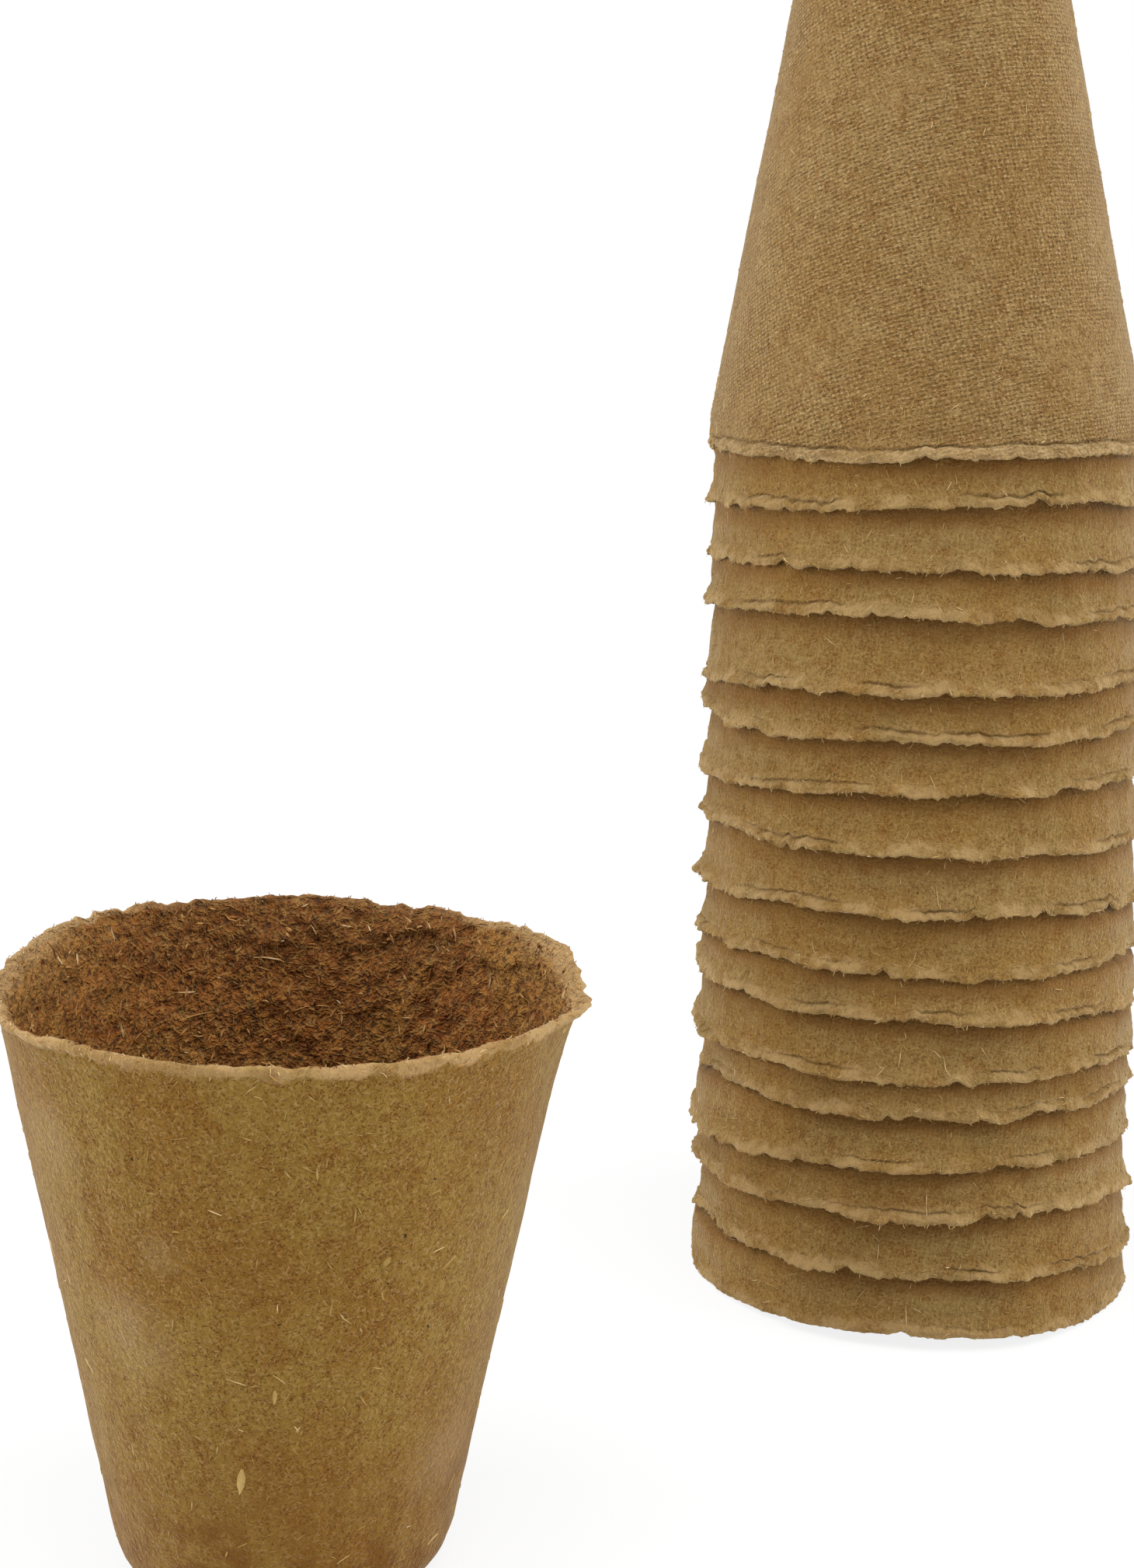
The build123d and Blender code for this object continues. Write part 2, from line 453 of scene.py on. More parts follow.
def slivers(pos, rng, count, rows, length, width, lift, tidy=0.0, bent=0.35, at_col=None):
    """Corners of slivers on the grid between two rows. tidy is the share that lies up the wall, lift is
    how far a tip may stand off it, and at_col sets one column for all."""
    row_count, cols = pos.shape[:2]
    rings = len(SLIVER_TAPER)
    row = rng.uniform(rows[0], rows[1], count)
    long_mm = rng.uniform(*length, count)
    if at_col is None:
        past = 0.5
        col = rng.uniform(0, cols, count)
        long_mm = long_mm * (0.5 + rng.random(count) ** 2)
    else:
        past = 4.0
        col = np.full(count, at_col)
    wide = rng.uniform(*width, count)
    way = np.where(rng.random(count) < tidy, rng.normal(math.pi / 2, 0.45, count),
                   rng.uniform(0, math.pi, count))
    bend = rng.normal(0, bent, count)
    here = on_grid(pos, row, col)
    up = on_grid(pos, np.minimum(row + 1, row_count - 1.01), col) - here
    side = on_grid(pos, row, col + 1.0) - here
    row_mm = np.maximum(np.linalg.norm(up, axis=1), 0.15)
    col_mm = np.maximum(np.linalg.norm(side, axis=1), 0.10)
    share = np.linspace(-0.5, 0.5, rings)[None, :]
    heading = way[:, None] + bend[:, None] * share * 2
    over_mm = np.cumsum(np.cos(heading), 1) * (long_mm / rings)[:, None]
    up_mm = np.cumsum(np.sin(heading), 1) * (long_mm / rings)[:, None]
    over_mm = over_mm - over_mm.mean(1, keepdims=True)
    up_mm = up_mm - up_mm.mean(1, keepdims=True)
    row_at = np.clip(row[:, None] + up_mm / row_mm[:, None], rows[0] - past, rows[1] + past)
    centre = on_grid(pos, row_at, col[:, None] + over_mm / col_mm[:, None])
    normal = unit(np.cross(side, up))
    tip = rng.random(count) ** 3 * lift
    ends = np.abs(share + rng.choice([-0.5, 0.5], count)[:, None])
    raised = 0.02 + tip[:, None] * ends ** 1.5
    along = unit(np.gradient(centre, axis=1))
    across = np.cross(normal[:, None, :] + 0 * along, along)
    half = SLIVER_TAPER[None, :, None] * wide[:, None, None] / 2
    foot = centre + normal[:, None, :] * (raised - 0.07)[..., None]
    crown = centre + normal[:, None, :] * (raised + 0.04 + 0.22 * wide[:, None])[..., None]
    return np.stack([foot - across * half, foot + across * half, crown], 2).reshape(-1, 3)


def fringe(pos, rng, count, row, length, width):
    """Corners of hairs that stand off the edge of the rim."""
    rings = len(SLIVER_TAPER)
    col = rng.uniform(0, pos.shape[1], count)
    foot = on_grid(pos, np.full(count, row - 2.0), col)
    edge = on_grid(pos, np.full(count, float(row)), col)
    side = unit(on_grid(pos, np.full(count, float(row)), col + 1.0) - edge)
    out = unit(np.stack([edge[:, 0], edge[:, 1], np.zeros(count)], 1), 0.0)
    way = np.array([0, 0, 1.0]) + out * rng.normal(0.15, 0.45, count)[:, None]
    way = unit(way + side * rng.normal(0, 0.9, count)[:, None], 0.0)
    long_mm = rng.uniform(*length, count)
    wide = rng.uniform(*width, count)
    share = np.linspace(0, 1, rings)[None, :, None]
    sag = side * rng.normal(0, 0.25, count)[:, None]
    start = 0.5 * foot + 0.5 * edge
    centre = start[:, None] + (way[:, None] * share + sag[:, None] * share ** 2) * long_mm[:, None, None]
    along = unit(np.gradient(centre, axis=1))
    across = unit(np.cross(out[:, None] + 0 * along, along))
    crown = np.cross(along, across)
    half = SLIVER_TAPER[None, :, None] * wide[:, None, None] / 2
    ridge = centre + crown * half * 1.4
    return np.stack([centre - across * half, centre + across * half, ridge], 2).reshape(-1, 3)


def sliver_faces(count):
    """Triangles of closed slivers with three corners to a ring."""
    rings = len(SLIVER_TAPER)
    one = []
    for ring in range(rings - 1):
        for corner in range(3):
            here = ring * 3 + corner
            beside = ring * 3 + (corner + 1) % 3
            one += [(here, beside, beside + 3), (here, beside + 3, here + 3)]
    last = (rings - 1) * 3
    one += [(2, 1, 0), (last, last + 1, last + 2)]
    start = np.arange(count)[:, None, None] * rings * 3
    return (np.array(one)[None] + start).reshape(-1, 3)


def straw_object(name, groups, place):
    """One object from groups of slivers, each with its own material slot."""
    verts, faces, slots, count = [], [], [], 0
    for slot, corners in groups:
        made = len(corners) // (3 * len(SLIVER_TAPER))
        part = sliver_faces(made)
        faces.append(part + count)
        slots.append(np.full(len(part), slot))
        verts.append(corners)
        count += len(corners)
    mesh = bpy.data.meshes.new(name)
    faces = np.concatenate(faces)
    mesh.from_pydata((place(np.concatenate(verts)) * MM).tolist(), [], faces.tolist())
    mesh.polygons.foreach_set("material_index", np.concatenate(slots).astype(np.int32))
    mesh.update()
    return add_object(name, mesh)


# Materials

class Paint:
    """Small helper for building a material, or the world, from nodes."""

    def __init__(self, owner):
        self.owner = owner
        owner.use_nodes = True
        self.tree = owner.node_tree
        self.tree.nodes.clear()

    def add(self, kind, **values):
        node = self.tree.nodes.new(kind)
        for key, value in values.items():
            setattr(node, key, value)
        return node

    def put(self, socket, value):
        """Link another node's output to a socket, or set the socket's value."""
        if hasattr(value, "is_linked"):
            self.tree.links.new(value, socket)
        elif socket.type == "RGBA":
            socket.default_value = (*value, 1.0)
        else:
            socket.default_value = value

    def fill(self, node, values):
        for key, value in values.items():
            self.put(node.inputs[key], value)

    def math(self, kind, first, second=0.0):
        node = self.add("ShaderNodeMath", operation=kind)
        self.put(node.inputs[0], first)
        self.put(node.inputs[1], second)
        return node.outputs[0]

    def plus(self, first, second):
        return self.math("ADD", first, second)

    def minus(self, first, second):
        return self.math("SUBTRACT", first, second)

    def times(self, first, second):
        return self.math("MULTIPLY", first, second)

    def ramp(self, value, low, high, to_low=0.0, to_high=1.0):
        """A smooth step from one value to another while the input goes from low to high."""
        node = self.add("ShaderNodeMapRange", interpolation_type="SMOOTHSTEP")
        self.fill(node, {"Value": value, "From Min": low, "From Max": high,
                         "To Min": to_low, "To Max": to_high})
        return node.outputs["Result"]

    def mix(self, share, first, second):
        """The first colour with a share of the second: a mix node has its colours at 6, 7 and 2."""
        node = self.add("ShaderNodeMix", data_type="RGBA")
        self.put(node.inputs[0], share)
        self.put(node.inputs[6], first)
        self.put(node.inputs[7], second)
        return node.outputs[2]

    def tint(self, skin, colour, value, low, high, most=1.0):
        """The skin, with a share of a colour that grows while the value goes from low to high."""
        return self.mix(self.ramp(value, low, high, 0.0, most), skin, colour)

    def noise(self, coords, cell, detail=2.0, rough=0.5):
        """Noise on object coordinates, one cell to so many millimetres."""
        node = self.add("ShaderNodeTexNoise")
        self.fill(node, {"Vector": coords, "Scale": 1 / (cell * MM), "Detail": detail, "Roughness": rough})
        return node.outputs[0]

    def streak(self, flat, turn, long_mm, wide_mm, shift, detail=1.0):
        """Noise on the flat map, drawn out along one direction in degrees."""
        lay = self.add("ShaderNodeMapping", vector_type="TEXTURE")
        self.fill(lay, {"Vector": flat, "Location": (shift, shift * 0.7, 0.0),
                        "Rotation": (0.0, 0.0, math.radians(turn)), "Scale": (long_mm, wide_mm, 1.0)})
        node = self.add("ShaderNodeTexNoise", noise_dimensions="2D")
        self.fill(node, {"Vector": lay.outputs[0], "Scale": 1.0, "Detail": detail, "Roughness": 0.55})
        return node.outputs[0]

    def bundle(self, flat, lays, shift, step):
        """Streaks that lie several ways, each shifted one step further."""
        return [self.streak(flat, *lay, shift + step * number) for number, lay in enumerate(lays)]

    def extreme(self, kind, values):
        """The highest or the lowest of several values."""
        best = values[0]
        for value in values[1:]:
            best = self.math(kind, best, value)
        return best

    def finish(self, colour, rough, specular, relief=None, depth=0.0, sheen=0.0):
        """Close the material, with a bump of a depth in millimetres where there is relief."""
        shader = self.add("ShaderNodeBsdfPrincipled")
        self.fill(shader, {"Base Color": colour, "Roughness": rough, "Specular IOR Level": specular})
        if sheen:
            self.fill(shader, {"Sheen Weight": sheen, "Sheen Roughness": 0.30,
                               "Sheen Tint": (1.0, 0.88, 0.66)})
        if relief is not None:
            bump = self.add("ShaderNodeBump")
            self.fill(bump, {"Strength": 0.9, "Distance": depth * MM, "Height": relief})
            self.put(shader.inputs["Normal"], bump.outputs[0])
        out = self.add("ShaderNodeOutputMaterial")
        self.tree.links.new(shader.outputs[0], out.inputs[0])
        return self.owner

    def blend(self, share, first, second, closing):
        """Close the nodes with the first shader and a share of the second."""
        node = self.add("ShaderNodeMixShader")
        self.put(node.inputs[0], share)
        self.put(node.inputs[1], first.outputs[0])
        self.put(node.inputs[2], second.outputs[0])
        self.put(self.add(closing).inputs[0], node.outputs[0])


def shade(colour, factor):
    return tuple(part * factor for part in colour)


# Fibres and flecks lie these ways: angle in degrees, length, width
FIBRE_LAY = ((72, 1.5, 0.34), (18, 1.4, 0.32), (118, 1.6, 0.36), (155, 1.3, 0.32))
FLECK_LAY = ((8, 0.70, 0.30), (62, 0.60, 0.27), (121, 0.66, 0.30))
# Distance between two rows of the forming screen
WEAVE_PITCH = 0.745
SPECK_BLACK = (0.012, 0.008, 0.005)
DUST_PALE = (0.37, 0.275, 0.150)
# Colours inside the loose pot
SIDE_TAN = (0.340, 0.180, 0.048)
MIDDLE_BROWN = (0.165, 0.062, 0.014)
# Painted shade for the peat's hollows and grooves
HOLLOW_SHADE = (0.066, 0.027, 0.012)
FIBRE_OLIVE = (0.35, 0.200, 0.058)
CREST_PALE = (0.44, 0.285, 0.132)


def screen_imprint(paint, flat, coords, lay, seed):
    """Height of the screen's imprint: rows of short dashes laid at an angle, from about -1 to 1."""
    split = paint.add("ShaderNodeSeparateXYZ")
    paint.put(split.inputs[0], flat)
    wide, high = split.outputs[0], split.outputs[1]
    sway = paint.streak(flat, 40, 9.0, 6.0, seed + 55.0, 2.0)
    shake = paint.streak(flat, lay, 1.3, 0.7, seed + 77.0)
    rise, run = math.sin(math.radians(lay)), math.cos(math.radians(lay))
    across = paint.minus(paint.times(high, run), paint.times(wide, rise))
    along = paint.plus(paint.times(wide, run), paint.times(high, rise))
    turn = 2 * math.pi / WEAVE_PITCH
    drift = paint.plus(paint.times(sway, 6.0), paint.times(shake, 4.0))
    rows = paint.math("SINE", paint.plus(paint.times(across, turn), drift))
    threads = paint.math("SINE", paint.plus(paint.times(along, turn * 0.87), paint.times(drift, 1.3)))
    square = paint.ramp(paint.noise(coords, 22.0, 1.0), 0.42, 0.62, 0.25, 0.5)
    knots = paint.plus(paint.times(rows, 0.7), paint.times(threads, square))
    broken = paint.ramp(paint.streak(flat, lay, 1.0, 0.5, seed + 31.0), 0.34, 0.64, 0.1, 1.15)
    return paint.times(knots, broken)


def pulp_outside(name, tan, brown, pale, look, seed):
    """Outside of the felt: dark flecks, reddish smudges, faint fibres and the forming screen's imprint."""
    weave, band, rim_shadow = look["weave"], look["band"], look["rim_shadow"]
    paint = Paint(bpy.data.materials.new(name))
    flat = paint.add("ShaderNodeUVMap", uv_map="flat").outputs[0]
    coords = paint.add("ShaderNodeTexCoord").outputs["Object"]
    lip = paint.add("ShaderNodeAttribute", attribute_name="lip").outputs["Fac"]
    lines = paint.bundle(flat, FIBRE_LAY, seed, 13.7)
    high = paint.extreme("MAXIMUM", lines)
    low = paint.extreme("MINIMUM", lines)
    flecks = paint.extreme("MAXIMUM", paint.bundle(flat, FLECK_LAY, seed + 91, 7.3))
    grain = paint.noise(coords, 0.6, 2.0, 0.5)
    blotch = paint.noise(coords, 1.0, 2.0, 0.6)
    cluster = paint.noise(coords, 2.6, 4.0, 0.65)
    broad = paint.noise(coords, 16.0, 3.0, 0.55)
    runs = paint.streak(flat, 90, 34.0, 3.2, seed + 43.0, 2.0)
    speck = paint.noise(coords, 0.75, 0.0)
    red = (brown[0], brown[1] * 0.76, brown[2] * 0.62)

    skin = paint.tint(shade(brown, 1.12), tan, broad, 0.36, 0.64)
    skin = paint.tint(skin, shade(brown, 0.9), runs, 0.50, 0.68, 0.30)
    skin = paint.tint(skin, red, cluster, 0.47, 0.68, 0.55)
    skin = paint.tint(skin, shade(red, 0.7), blotch, 0.55, 0.38, 0.25)
    skin = paint.tint(skin, shade(brown, 0.6), grain, 0.60, 0.36, 0.26)
    skin = paint.tint(skin, pale, high, 0.60, 0.84, look["fibre"])
    skin = paint.tint(skin, shade(brown, 0.5), low, 0.36, 0.25, 0.14)
    clump = paint.plus(flecks, paint.times(paint.minus(cluster, 0.5), 0.3))
    skin = paint.tint(skin, shade(red, 0.42), clump, 0.60, 0.80, look["fleck"])
    skin = paint.tint(skin, SPECK_BLACK, speck, 0.865, 0.89, 0.85)
    if look["foot"]:
        split = paint.add("ShaderNodeSeparateXYZ")
        paint.put(split.inputs[0], coords)
        level = split.outputs[2]
        skin = paint.tint(skin, shade(red, 0.9), level, 42 * MM, 12 * MM, look["foot"])
        patches = paint.ramp(paint.noise(coords, 6.0, 3.0, 0.6), 0.46, 0.62, 0.05, 0.75)
        patches = paint.times(paint.ramp(level, 25 * MM, 14 * MM), patches)
        skin = paint.mix(patches, skin, shade(red, 0.7))
    for deg, high_mm, wide, share in look["dust"]:
        turn = front_of(LOOSE_AT) + math.radians(deg)
        reach = BASE_R + high_mm * SLOPE
        across = LOOSE_AT[0] + LOOSE_LEAN[0] * high_mm + reach * math.cos(turn)
        back = LOOSE_AT[1] + LOOSE_LEAN[1] * high_mm + reach * math.sin(turn)
        spot = paint.add("ShaderNodeVectorMath", operation="DISTANCE")
        paint.put(spot.inputs[0], coords)
        paint.put(spot.inputs[1], (across * MM, back * MM, high_mm * MM))
        near = paint.ramp(spot.outputs["Value"], wide * MM, 0.2 * wide * MM, 0.0, share)
        near = paint.times(near, paint.ramp(cluster, 0.36, 0.62, 0.4, 1.0))
        skin = paint.mix(near, skin, DUST_PALE)
    # Painted shade, dark reddish brown, on the wall just under the next pot's rim
    if rim_shadow:
        under = paint.add("ShaderNodeAttribute", attribute_name="under").outputs["Fac"]
        shadow_share = paint.times(under, paint.ramp(broad, 0.36, 0.60, 0.55 * rim_shadow, rim_shadow))
        skin = paint.mix(shadow_share, skin, (brown[0] * 0.76, brown[1] * 0.58, brown[2] * 0.50))
    relief = paint.plus(paint.times(high, 0.15), paint.times(low, 0.12))
    relief = paint.plus(relief, paint.times(grain, 0.5))
    relief = paint.plus(relief, paint.times(blotch, 0.7))
    relief = paint.minus(relief, paint.times(flecks, 0.4))
    if weave:
        where = paint.ramp(paint.noise(coords, 15.0, 2.0), 0.34, 0.54, 0.55, 1.0)
        imprint = paint.times(screen_imprint(paint, flat, coords, look["lay"], seed), where)
        skin = paint.tint(skin, shade(brown, 0.45), imprint, -0.10, -0.75, 0.78 * weave)
        skin = paint.tint(skin, pale, imprint, 0.25, 0.95, 0.45 * weave)
        relief = paint.plus(relief, paint.times(imprint, 0.22 * weave))
    # The pale rim: partly the paler torn edge, partly painted highlight where the flared lip catches the
    # light
    edge = paint.plus(lip, paint.times(paint.minus(cluster, 0.5), band * 0.15))
    pale_edge_and_highlight = paint.ramp(paint.noise(coords, 5.5, 2.0), 0.38, 0.60, look["bare"], look["pale_edge_and_highlight"])
    rim = paint.ramp(edge, 1 - band / LIP_MARK, 1 - 0.35 * band / LIP_MARK)
    skin = paint.mix(paint.times(rim, pale_edge_and_highlight), skin, pale)
    return paint.finish(skin, 0.95, 0.06, relief, 0.5, look["sheen"])


def pulp_inside(name, light, deep, seed):
    """Inside of the felt: shaggy peat, painted shade in its hollows and grooves, and fibres lying every way.
    """
    paint = Paint(bpy.data.materials.new(name))
    flat = paint.add("ShaderNodeUVMap", uv_map="flat").outputs[0]
    coords = paint.add("ShaderNodeTexCoord").outputs["Object"]
    lip = paint.add("ShaderNodeAttribute", attribute_name="lip").outputs["Fac"]
    coarse = [(turn, long_mm * 2.0, wide_mm * 2.0) for turn, long_mm, wide_mm in FIBRE_LAY]
    crossing = [(turn + 33, long_mm, wide_mm * 1.8) for turn, long_mm, wide_mm in FIBRE_LAY]
    high = paint.extreme("MAXIMUM", paint.bundle(flat, coarse, seed, 17.9))
    low = paint.extreme("MINIMUM", paint.bundle(flat, crossing, seed + 71, 11.3))
    grain = paint.noise(coords, 1.0, 3.0, 0.6)
    patch = paint.noise(coords, 2.6, 4.0, 0.65)
    broad = paint.noise(coords, 14.0, 2.0)
    skin = paint.tint(deep, light, patch, 0.36, 0.64)
    warmer = (light[0], light[1] * 1.35, light[2] * 1.25)
    skin = paint.tint(skin, warmer, broad, 0.45, 0.68, 0.40)

    # Near the rim the sides are as tan as the outside, and the middle is darker
    split = paint.add("ShaderNodeSeparateXYZ")
    paint.put(split.inputs[0], coords)
    aside = paint.math("ABSOLUTE", paint.minus(split.outputs[0], LOOSE_AT[0] * MM))
    sides = paint.times(paint.ramp(aside, 24 * MM, 35 * MM), paint.ramp(lip, 0.30, 0.75, 0.0, 0.65))
    skin = paint.mix(sides, skin, SIDE_TAN)
    middle = paint.times(paint.ramp(aside, 32 * MM, 20 * MM), paint.ramp(lip, 0.25, 0.7, 0.0, 0.75))
    skin = paint.mix(middle, skin, MIDDLE_BROWN)

    # Painted shade in the hollows and grooves, fibres and the pale crest
    skin = paint.tint(skin, HOLLOW_SHADE, grain, 0.52, 0.34, 0.85)
    skin = paint.tint(skin, FIBRE_OLIVE, high, 0.58, 0.80, 0.60)
    skin = paint.tint(skin, HOLLOW_SHADE, low, 0.40, 0.22, 0.5)
    crest = paint.times(paint.ramp(lip, 0.955, 0.995), paint.ramp(aside, 18 * MM, 33 * MM, 0.12, 0.75))
    turned = paint.times(paint.ramp(lip, 0.80, 0.96), paint.ramp(aside, 30 * MM, 37 * MM, 0.0, 0.7))
    skin = paint.mix(paint.math("MAXIMUM", crest, turned), skin, CREST_PALE)
    relief = paint.plus(paint.times(high, 0.9), paint.times(low, 0.8))
    relief = paint.plus(relief, paint.times(grain, 1.0))
    return paint.finish(skin, 0.9, 0.12, relief, 1.3)


def straw(name, pale, dark):
    """Dry stalks and hairs, mottled along their length."""
    paint = Paint(bpy.data.materials.new(name))
    coords = paint.add("ShaderNodeTexCoord").outputs["Object"]
    colour = paint.tint(dark, pale, paint.noise(coords, 2.5, 1.0), 0.35, 0.65)
    colour = paint.tint(colour, shade(dark, 0.6), paint.noise(coords, 0.4, 1.0), 0.50, 0.75, 0.4)
    return paint.finish(colour, 0.65, 0.2)


PEAT = pulp_inside("peat_inside", light=(0.330, 0.129, 0.028), deep=(0.190, 0.058, 0.011), seed=5.0)
# What each outside shows: weave and lay are the strength and angle of the screen's imprint, band is how far
# down the wall in millimetres the pale rim reaches, which is partly the paler torn edge and partly painted
# highlight on the flared lip, the next two are that rim's least and greatest share, the one after them is
# painted shade on the wall under the next rim, sheen is the fuzz, foot is the darker foot and dust the pale
# places
LOOSE_LOOK = dict(weave=0.0, lay=14, fleck=0.85, fibre=0.34, band=1.5, bare=0.30, pale_edge_and_highlight=0.62,
                  rim_shadow=0.0, sheen=0.36, foot=0.25, dust=LOOSE_DUST)
TOP_LOOK = dict(weave=1.0, lay=14, fleck=0.80, fibre=0.40, band=2.2, bare=0.15, pale_edge_and_highlight=0.45,
                rim_shadow=0.0, sheen=0.36, foot=0.0, dust=[])
STACK_LOOK = dict(weave=0.30, lay=82, fleck=0.75, fibre=0.45, band=2.4, bare=0.05, pale_edge_and_highlight=0.55,
                  rim_shadow=0.75, sheen=0.48, foot=0.0, dust=[])
LOOSE_SKIN = pulp_outside(
    "pulp_loose",
    tan=(0.217, 0.133, 0.027), brown=(0.172, 0.088, 0.015), pale=(0.44, 0.288, 0.132),
    look=LOOSE_LOOK, seed=3.0)
TOP_SKIN = pulp_outside(
    "pulp_top",
    tan=(0.247, 0.158, 0.059), brown=(0.193, 0.113, 0.036), pale=(0.46, 0.325, 0.160),
    look=TOP_LOOK, seed=21.0)
STACK_SKINS = (
    pulp_outside(
        "pulp_stack_a",
        tan=(0.242, 0.157, 0.053), brown=(0.198, 0.111, 0.029), pale=(0.35, 0.235, 0.105),
        look=STACK_LOOK, seed=37.0),
    pulp_outside(
        "pulp_stack_b",
        tan=(0.235, 0.152, 0.050), brown=(0.194, 0.108, 0.027), pale=(0.35, 0.235, 0.103),
        look=STACK_LOOK, seed=53.0),
)
STRAWS = (
    straw("straw_pale", (0.56, 0.40, 0.21), (0.40, 0.25, 0.10)),
    straw("straw_tan", (0.36, 0.190, 0.058), (0.26, 0.115, 0.030)),
    straw("straw_brown", (0.26, 0.10, 0.023), (0.13, 0.042, 0.009)),
    straw("straw_hair", (0.54, 0.40, 0.20), (0.42, 0.29, 0.12)),
    straw("straw_dull", (0.37, 0.245, 0.078), (0.29, 0.185, 0.050)),
)
# Their slots, in the same order
PALE, TAN, BROWN, HAIR, DULL = range(5)


# The pots

def rows_between(rows, zones, low, high):
    hit = np.where(np.isin(rows[:, 2], zones) & (rows[:, 1] >= low) & (rows[:, 1] <= high))[0]
    return hit[0], hit[-1]


def dress(body, pot, skin, straws):
    """Put materials on a pot and its straw, and tie both to the pot's body."""
    pot.data.materials.append(skin)
    pot.data.materials.append(PEAT)
    for material in STRAWS:
        straws.data.materials.append(material)
    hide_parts(body)
    for piece in (pot, straws):
        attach(piece, body)


def make_loose():
    """The pot that stands mouth up."""
    look = dict(
        tear=0.7, calm=0.75, sway=0.0, notches=12, flaps=LOOSE_FLAPS,
        wave=0.35, reach=2.6, curl=0.4, nip=0.35, thin=0.15, feather=0.0, hollow=0.15,
        crease=0.2, crease_at=1.25, crease_run=0.35,
        lump=0.20, flute=0.14, crumb=0.4, press=0.0, dents=LOOSE_DENTS,
        shag=0.80, in_shift=0.0, folds=LOOSE_FOLDS, lean=LOOSE_LEAN)
    cols = 430
    rows = section(rim_zone=6.0, step_edge=0.32, step_rim=0.6, step_wall=1.6, step_inner=0.72)
    front = front_of(LOOSE_AT)
    theta = round_angles(cols)
    rise = round_curve(theta, front, LOOSE_RIM, sharp=60.0)
    flare = round_curve(theta, front, LOOSE_FLARE, sharp=60.0)
    pos = pot_grid(cols, rows, front, rise, flare, 0.0, NOT_CAPPED, 100, look)

    def place(points):
        return points + np.array([*LOOSE_AT, 0.0])

    pot = pot_mesh("loose_pot_pulp", pos, rows, front, place, NOT_CAPPED)
    rng = np.random.default_rng(11)
    inner = rows_between(rows, (INNER,), 9, POT_H - 0.5)
    outer = rows_between(rows, (OUTER,), 5, POT_H - 1)
    rim = rows_between(rows, (OUTER, LIP, INNER), POT_H - 1.2, POT_H + 1)
    edge = lip_row(rows, LIP_CREST)
    chips = []
    for deg, high, long_mm, wide in LOOSE_CHIPS:
        row = rows_between(rows, (OUTER,), high, POT_H)[0]
        col = (front + math.radians(deg)) % (2 * math.pi) * cols / (2 * math.pi)
        chip = slivers(pos, rng, 1, (row, row), (long_mm, long_mm), (wide, wide), 0.0, 1.0, 0.0, col)
        chips.append((DULL, chip))
    straws = straw_object("loose_pot_straw", chips + [
        (PALE, slivers(pos, rng, 240, inner, (1.0, 2.4), (0.12, 0.24), 0.5, 0.0, 0.15)),
        (PALE, slivers(pos, rng, 110, inner, (3.2, 6.4), (0.26, 0.46), 0.5, 0.0, 0.05)),
        (TAN, slivers(pos, rng, 1500, inner, (0.9, 2.6), (0.24, 0.60), 0.8, 0.0, 0.2)),
        (TAN, slivers(pos, rng, 420, inner, (3.4, 7.0), (0.16, 0.30), 0.9, 0.0, 0.5)),
        (BROWN, slivers(pos, rng, 1100, inner, (0.9, 2.2), (0.34, 0.80), 0.7, 0.0, 0.2)),
        (DULL, slivers(pos, rng, 420, outer, (1.0, 2.2), (0.09, 0.16), 0.0, 0.5, 0.15)),
        (DULL, slivers(pos, rng, 130, outer, (1.6, 3.4), (0.18, 0.34), 0.0, 0.5, 0.06)),
        (HAIR, slivers(pos, rng, 50, outer, (1.6, 3.0), (0.16, 0.30), 0.0, 0.5, 0.06)),
        (PALE, slivers(pos, rng, 200, rim, (0.8, 1.8), (0.08, 0.16), 0.5, 0.2)),
        (TAN, slivers(pos, rng, 200, rim, (0.8, 1.8), (0.10, 0.20), 0.5, 0.2)),
        (PALE, fringe(pos, rng, 30, edge, (0.2, 0.7), (0.06, 0.12))),
        (TAN, fringe(pos, rng, 55, edge, (0.2, 0.6), (0.08, 0.18))),
        (BROWN, fringe(pos, rng, 45, edge, (0.2, 0.6), (0.08, 0.18))),
    ], place)
    dress("loose_pot", pot, LOOSE_SKIN, straws)


def stack_rise(index, theta, front):
    """Rise of a nested rim in its own frame, where view angles and heights change sign."""
    rims = [(-deg, -up) for deg, up in zip(STACK_ANGLES, STACK_RIMS[index])]
    mean = sum(up for _, up in rims) / len(rims)
    behind = [(deg, mean) for deg in (-140, 180, 140)]
    return round_curve(theta, front, rims + behind, sharp=12.0)


def stack_sides(table, index, theta, front):
    """How far a nested wall or lip stands out, from its row of left, front and right values."""
    outs = [(-deg, out) for deg, out in zip(SIDE_ANGLES, table[index])]
    behind = [(180, table[index][1])]
    return round_curve(theta, front, outs + behind, sharp=5.0)


